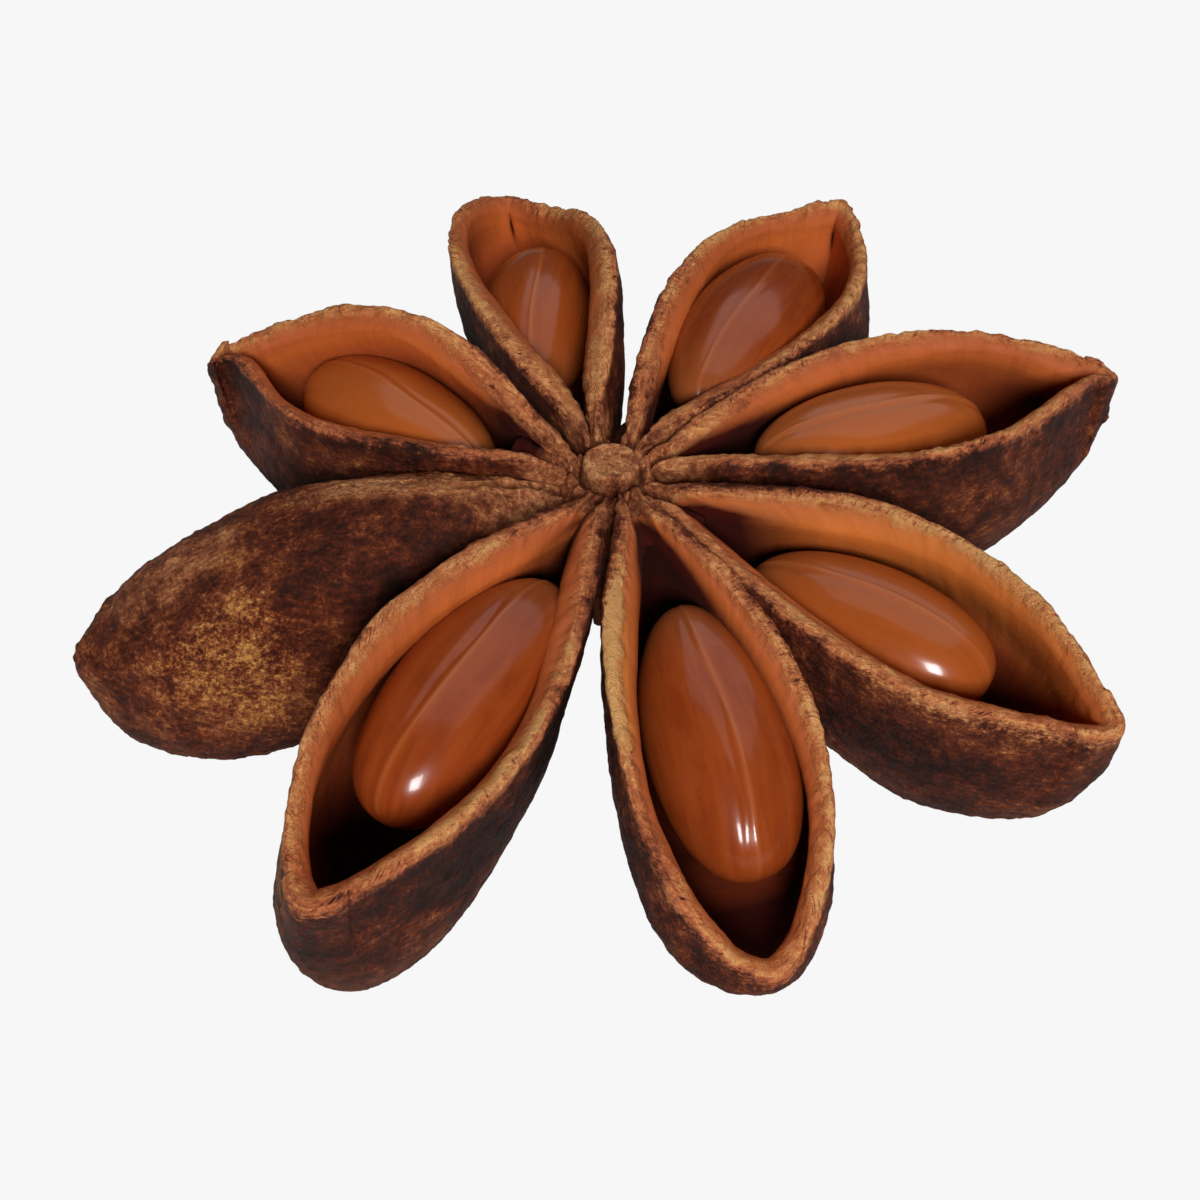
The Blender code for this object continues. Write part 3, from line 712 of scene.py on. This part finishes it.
def column_grid():
    """Rings up the profile, smoothed along it. The radius grows by a bell round each gap between two necks, times
    one up and down, for the web. Bells on top, two for each neck, make the lumps, and noise makes them knobbly."""
    corner = np.array(COLUMN_PROFILE)[::-1]
    reach = np.concatenate([[0.0], np.cumsum(np.hypot(*np.diff(corner, axis=0).T))])
    even = np.linspace(0.0, reach[-1], COLUMN_ROWS)
    radius, level = np.interp(even, reach, corner[:, 0]), np.interp(even, reach, corner[:, 1])
    for _ in range(3):
        radius[1:-1] = (radius[:-2] + 2.0 * radius[1:-1] + radius[2:]) / 4.0
        level[1:-1] = (level[:-2] + 2.0 * level[1:-1] + level[2:]) / 4.0
    level = level[:, None]
    swing = np.arange(COLUMN_AROUND) / COLUMN_AROUND * 2.0 * math.pi
    bearings = np.sort([part["bearing"] % 360.0 for part in FOLLICLES + (SHUT,)])
    gaps = (bearings + np.append(bearings[1:], bearings[0] + 360.0)) / 2.0
    web = sum(bell(swing, gap, WEB_SPREAD) for gap in gaps)
    wide = radius[:, None] + WEB_REACH * web * np.exp(-(((level - WEB_LEVEL) / WEB_HEIGHT) ** 4))
    x, y = wide * np.cos(swing), wide * np.sin(swing)
    lumps = np.zeros_like(x)
    for number, part in enumerate(FOLLICLES + (SHUT,)):
        for aside in (-LUMP_ASIDE, LUMP_ASIDE):
            at = math.radians(part["bearing"] + aside + 3.0 * math.sin(5.0 * number + aside))
            out = LUMP_OUT + 0.08 * math.sin(11.0 * number + aside)
            near = (x - out * math.cos(at)) ** 2 + (y - out * math.sin(at)) ** 2
            lumps += LUMP_HEIGHT * np.exp(-near / LUMP_REACH**2)
    grid = np.stack([x, y, level + lumps * (level > LUMP_FLOOR)], axis=-1)
    knobs = rough(grid, KNOB_SIZE, 3, COLUMN_DRAW) * np.clip((wide - 0.85) / 0.3, 0.4, 1.0) * KNOB_HEIGHT
    on_scar = np.clip((0.95 - wide) / 0.1, 0.0, 1.0) * (level > -1.0)
    marks = {
        "deep": np.clip(-level / 4.0, 0.0, 1.0) + 0.0 * wide,
        "grain": np.stack(np.broadcast_arrays(x, -2.0, y), axis=-1),
        "gilt_and_painted_light": 0.35 + 0.35 * on_scar,
        "bare_and_painted_light": np.full_like(wide, 1.5),
        # Painted shade: near-black red in the groove round the scar and over the whole column below the top, which
        # lies in shadow under the necks.
        "painted_shade": np.where(level > -0.9, 0.9 * np.exp(-(((wide - 0.99) / 0.08) ** 2)), 0.75),
    }
    return grid + normals(grid) * knobs[..., None] + HUB, marks


grid, marks = column_grid()
piece = closed_grid("column", grid, husk, marks)
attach(piece, "root")
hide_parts("pod")

# The seeds: seven smooth, hard, glossy caramel seeds, one loose in each open follicle, flattened a little, with
# a raised seam along the upper side between two shallow grooves.
SEED_AROUND = 220
SEED_ROWS = 150
SEED_FLATNESS = 0.9
SEED_NARROWING = 0.08
SEAM_HEIGHT = 0.022
SEAM_WIDTH = 0.08
GROOVE_DEPTH = 0.030
GROOVE_ASIDE = 0.22
GROOVE_WIDTH = 0.12
OUTER_END_FULLNESS = 0.12
SEED_SWELL = 0.04
SEED_DRAW = 600
POLE_GAP = 0.02
SEEDS = (  # name, follicle, out, aside, height, half length, half width, turn, pitch, paleness
    ("seed_1", 0, 10.13, 0.33, -2.30, 4.04, 2.08, -14.9, -2.1, 0.2),
    ("seed_2", 1, 9.64, 0.04, -1.59, 5.00, 2.30, 5.7, -8.0, 0.0),
    ("seed_3", 2, 8.95, -0.02, -1.30, 4.15, 2.10, 2.5, -7.3, 0.7),
    ("seed_4", 3, 9.46, -0.05, -1.34, 3.95, 2.06, 1.1, 0.3, 0.5),
    ("seed_5", 4, 9.72, 0.37, -1.88, 4.24, 2.13, -1.3, -17.0, 0.0),
    ("seed_6", 5, 9.37, 0.14, -1.00, 4.58, 2.21, -3.6, -3.5, 0.0),
    ("seed_7", 6, 7.54, 0.11, -1.12, 4.00, 2.07, -15.5, -2.1, 0.7),
)

seed_coat = bpy.data.materials.new("glossy seed coat")
seed_coat.use_nodes = True
tree = seed_coat.node_tree
shader = tree.nodes["Principled BSDF"]
place = in_millimetres(tree)
grain = mark_of(tree, "grain", "Vector")
coat = layered(tree, ramped(tree, fibres(tree, grain, 4.0, 0.5), 0.35, 0.65), paint(150, 66, 24), paint(134, 54, 18))
coat = layered(tree, blotches(tree, place, 1.8, 0.45, 0.7), coat, paint(150, 66, 26))
coat = layered(tree, mark_of(tree, "pale"), coat, paint(176, 92, 38))
coat = layered(tree, maths(tree, "MULTIPLY", mark_of(tree, "hub_end"), 0.6), coat, paint(146, 82, 44))
coat = layered(tree, maths(tree, "MULTIPLY", mark_of(tree, "seam"), 0.55), coat, paint(178, 98, 52))
# Painted shade: the underside of each seed is painted darker.
coat = layered(tree, maths(tree, "MULTIPLY", mark_of(tree, "under"), 0.5), coat, paint(104, 36, 14))
tree.links.new(coat, shader.inputs["Base Color"])
shader.inputs["Specular IOR Level"].default_value = 0.22
shader.inputs["Coat Weight"].default_value = 0.3
shader.inputs["Coat Roughness"].default_value = 0.11
tree.links.new(ramped(tree, fibres(tree, grain, 3.0, 0.6), 0.3, 0.7, 0.2, 0.3), shader.inputs["Roughness"])
bump = add(tree, "ShaderNodeBump", {"Strength": 0.15, "Distance": 0.00002, "Height": fibres(tree, grain, 3.0, 0.35)})
tree.links.new(bump.outputs[0], shader.inputs["Normal"])

wind = np.arange(SEED_AROUND) / SEED_AROUND * 2.0 * math.pi
polar = np.linspace(POLE_GAP, math.pi - POLE_GAP, SEED_ROWS)[:, None]


def seed(number, host, out, aside, height, half_length, half_width, turned, pitch, pale):
    """Rings from the outer end to the hub end of an ellipsoid, a little flat and narrower at the hub end; wind 0 is
    the upper side. A bell across the seam raises it, one beside it cuts the wavy groove, and noise swells the rest.
    Pitched and turned, it is set out, aside and up from the hub along its own follicle."""
    ahead = np.cos(polar) + 0.0 * wind
    ring = np.sin(polar) ** (1.0 - OUTER_END_FULLNESS * np.clip(np.cos(polar), 0.0, 1.0))
    across, upward = ring * np.sin(wind), ring * np.cos(wind)
    width = half_width * (1.0 + SEED_NARROWING * ahead)
    own = np.stack([ahead * half_length, across * width, upward * width * SEED_FLATNESS], axis=-1)
    from_seam = (wind + math.pi) % (2.0 * math.pi) - math.pi
    from_seam = (from_seam + 0.05 * np.sin(3.0 * ahead + number)) * ring * half_width
    seam = np.exp(-((from_seam / SEAM_WIDTH) ** 2)) * ring**0.5
    wavy = from_seam + GROOVE_ASIDE + 0.04 * np.sin(9.0 * ahead)
    groove = np.exp(-((wavy / GROOVE_WIDTH) ** 2)) * ring**0.5
    swell = rough(own, 2.6, 2, SEED_DRAW + number) * SEED_SWELL
    outward = normals(own)
    outward = outward * np.sign((outward * own).sum(axis=-1).mean())
    own = own + outward * (SEAM_HEIGHT * seam - GROOVE_DEPTH * groove + swell)[..., None]
    yaw, tip = math.radians(FOLLICLES[host]["bearing"] + turned), math.radians(pitch)
    x = own[..., 0] * math.cos(tip) - own[..., 2] * math.sin(tip)
    y = own[..., 1]
    z = own[..., 0] * math.sin(tip) + own[..., 2] * math.cos(tip)
    placed = np.stack([x * math.cos(yaw) - y * math.sin(yaw), x * math.sin(yaw) + y * math.cos(yaw), z], axis=-1)
    placed = placed + into_pod(dict(FOLLICLES[host], roll=0.0), np.array([[out, aside, height]]))[0]
    marks = {
        "seam": seam,
        "hub_end": np.clip((-ahead - 0.45) / 0.5, 0.0, 1.0),
        "under": np.clip(-upward * 1.2, 0.0, 1.0),
        "pale": np.full_like(across, pale),
        "grain": np.stack(np.broadcast_arrays(ahead * half_length, from_seam, float(number)), axis=-1),
    }
    if (normals(placed) * (placed - placed.mean(axis=(0, 1)))).sum() < 0.0:
        return placed[::-1], {label: values[::-1] for label, values in marks.items()}
    return placed, marks


for number, (name, *sizes) in enumerate(SEEDS):
    grid, marks = seed(number, *sizes)
    piece = closed_grid(name + "_coat", grid, seed_coat, marks)
    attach(piece, "root")
    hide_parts(name)

# The floor is plain and pale, and evenly bright to the eye, while it sends only a little light back up.
FLOOR_HALF = 3.0
FLOOR_BRIGHTNESS = 0.93
FLOOR_GREY = 0.4


def seen_as(tree, seen, lighting, output):
    """The camera sees one shader, and all other light meets the other."""
    choice = add(tree, "ShaderNodeMixShader", {0: add(tree, "ShaderNodeLightPath").outputs["Is Camera Ray"]})
    tree.links.new(lighting, choice.inputs[1])
    tree.links.new(seen, choice.inputs[2])
    tree.links.new(choice.outputs[0], output)


corners = [(x * FLOOR_HALF, y * FLOOR_HALF, 0.0) for x, y in ((-1, -1), (1, -1), (1, 1), (-1, 1))]
floor_mesh = bpy.data.meshes.new("floor")
floor_mesh.from_pydata(corners, [], [(0, 1, 2, 3)])
floor = bpy.data.objects.new("floor", floor_mesh)
bpy.context.collection.objects.link(floor)
floor_paint = bpy.data.materials.new("pale floor")
floor_paint.use_nodes = True
tree = floor_paint.node_tree
shader = tree.nodes["Principled BSDF"]
shader.inputs["Base Color"].default_value = (FLOOR_GREY, FLOOR_GREY, FLOOR_GREY, 1.0)
shader.inputs["Specular IOR Level"].default_value = 0.0
pale = (FLOOR_BRIGHTNESS, FLOOR_BRIGHTNESS, FLOOR_BRIGHTNESS, 1.0)
glow = add(tree, "ShaderNodeEmission", {0: pale, 1: 1.0})
seen_as(tree, glow.outputs[0], shader.outputs[0], tree.nodes["Material Output"].inputs[0])
floor_mesh.materials.append(floor_paint)

# Soft studio light: a room that is brightest low down and looks as pale as the floor, a broad softbox above and
# behind, and a small lamp above the front edge.
world = bpy.data.worlds.new("room")
world.use_nodes = True
tree = world.node_tree
room = tree.nodes["Background"]
height = add(tree, "ShaderNodeSeparateXYZ", {0: add(tree, "ShaderNodeTexCoord").outputs["Generated"]}).outputs[2]
tree.links.new(ramped(tree, height, 0.0, 0.8, 0.50, 0.12), room.inputs[1])
backdrop = add(tree, "ShaderNodeBackground", {0: pale, 1: 1.0})
seen_as(tree, backdrop.outputs[0], room.outputs[0], tree.nodes["World Output"].inputs[0])
bpy.context.scene.world = world
LAMP_TARGET = np.array([0.0, 0.0, 0.005])


def lamp(name, direction, distance, width, depth, power):
    """A rectangular lamp that faces the pod from this direction, all in metres and watts."""
    data = bpy.data.lights.new(name, "AREA")
    data.shape = "RECTANGLE"
    data.size, data.size_y, data.energy = width, depth, power
    light = bpy.data.objects.new(name, data)
    bpy.context.collection.objects.link(light)
    away = np.array(direction) / np.linalg.norm(direction)
    light.location = away * distance + LAMP_TARGET
    light.rotation_mode = "QUATERNION"
    light.rotation_quaternion = Vector(away).to_track_quat("Z", "Y")


lamp("softbox", (0.25, 0.55, 1.0), 0.28, 0.36, 0.36, 0.36)
lamp("front lamp", (0.08, -0.82, 0.58), 0.30, 0.065, 0.085, 0.80)

# The camera looks down at 48 degrees from the side of the two nearest follicles.
CAMERA_TARGET = (-0.746, -6.135, 7.0)
CAMERA_DISTANCE = 48.719
CAMERA_HEIGHT_ANGLE = math.radians(48.0)
camera_data = bpy.data.cameras.new("camera")
camera_data.lens = 50.0
camera_data.sensor_width = 36.0
camera_data.clip_start = 0.001
camera_data.clip_end = 20.0
camera = bpy.data.objects.new("camera", camera_data)
bpy.context.collection.objects.link(camera)
camera.location = [
    METRES * (aim + CAMERA_DISTANCE * back)
    for aim, back in zip(CAMERA_TARGET, (0.0, -math.cos(CAMERA_HEIGHT_ANGLE), math.sin(CAMERA_HEIGHT_ANGLE)))
]
camera.rotation_euler = (math.pi / 2.0 - CAMERA_HEIGHT_ANGLE, 0.0, 0.0)
bpy.context.scene.camera = camera
bpy.context.scene.view_settings.view_transform = "Standard"
